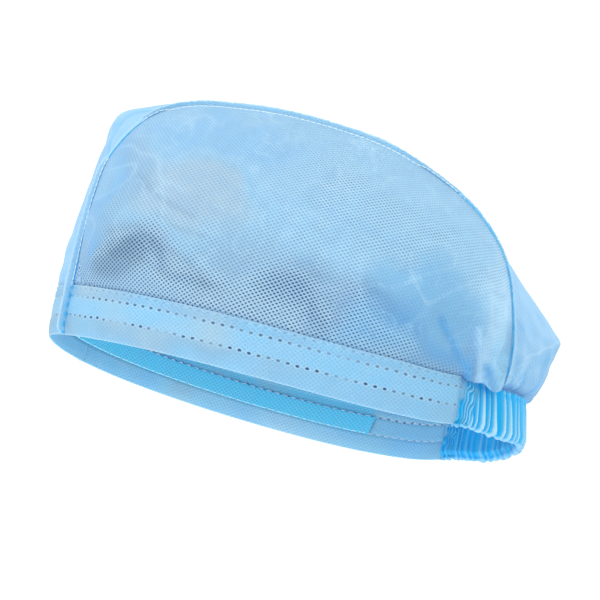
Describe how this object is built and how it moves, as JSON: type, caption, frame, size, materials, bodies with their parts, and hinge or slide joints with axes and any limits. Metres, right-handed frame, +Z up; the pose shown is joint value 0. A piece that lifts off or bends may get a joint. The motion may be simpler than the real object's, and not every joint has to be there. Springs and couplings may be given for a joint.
{
  "type": "surgical cap",
  "caption": "Disposable surgical cap of sheer blue non-woven cloth: two side panels, a crown strip, a stitched hem and a gathered elastic back.",
  "frame": {"origin": "middle of the rim opening, level with the rim's front and back, where the head enters", "axes": "+Z up towards the crown, -Y the forehead, +Y the nape, +X the wearer's left"},
  "size_m": [0.1694, 0.214, 0.1253],
  "materials": {
    "shell_cloth": "sheer spunbond non-woven with a fine embossed dot lattice",
    "hem_cloth": "the same non-woven, doubled and stitched",
    "band_cloth": "denser blue non-woven strip",
    "elastic": "flat white elastic"
  },
  "bodies": {
    "root": {"crown_strip": "shell_cloth", "left_side_panel": "shell_cloth", "right_side_panel": "shell_cloth", "left_seam": "shell_cloth", "right_seam": "shell_cloth", "front_hem": "hem_cloth", "left_hem": "hem_cloth", "right_hem": "hem_cloth", "elastic_casing": "hem_cloth", "sweatband": "band_cloth", "elastic_band": "elastic"}
  },
  "joints": []
}
